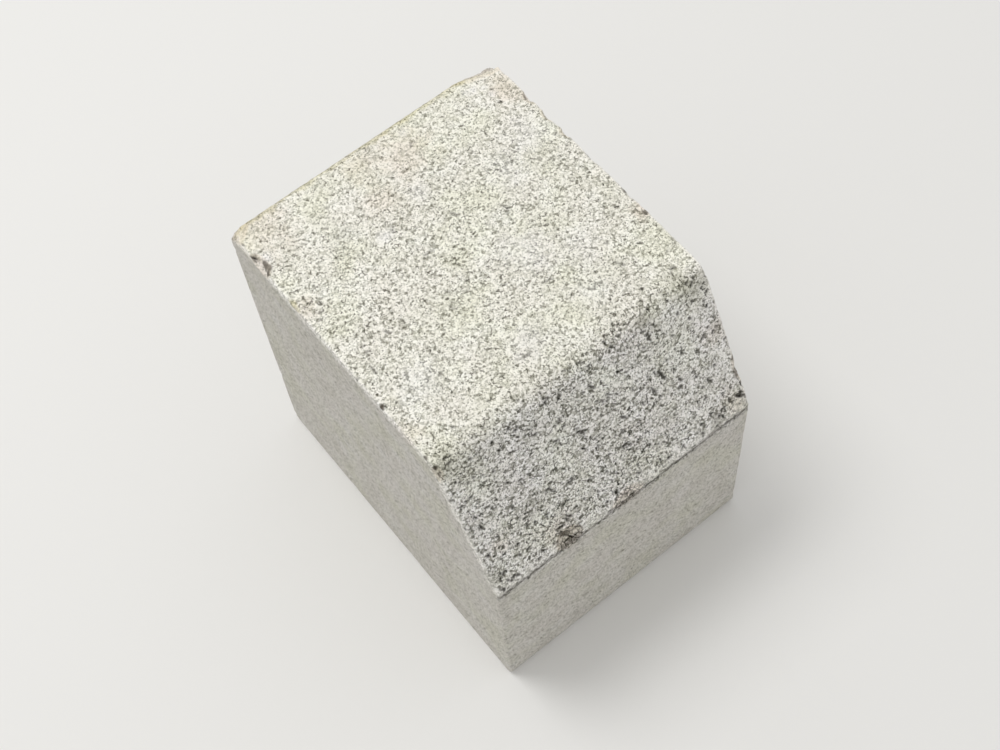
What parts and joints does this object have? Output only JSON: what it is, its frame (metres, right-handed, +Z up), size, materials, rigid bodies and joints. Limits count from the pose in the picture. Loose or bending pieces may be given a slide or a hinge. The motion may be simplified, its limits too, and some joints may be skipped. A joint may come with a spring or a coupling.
{
  "type": "concrete kerb stone",
  "caption": "Short precast concrete kerb stone with a flat top, a rounded crest, a steep batter and an upright road face, to be laid in a row.",
  "frame": {"origin": "middle of the bed, on the surface that the stone stands on", "axes": "+X along the row of stones from the left joint face to the right one, -Y towards the road, +Y towards the back, +Z up"},
  "size_m": [0.1, 0.127, 0.125],
  "materials": {
    "cast_concrete": "weathered pale grey cast concrete, sandy and matt, with fine pits"
  },
  "bodies": {
    "root": {"kerb_stone": "cast_concrete"}
  },
  "joints": []
}
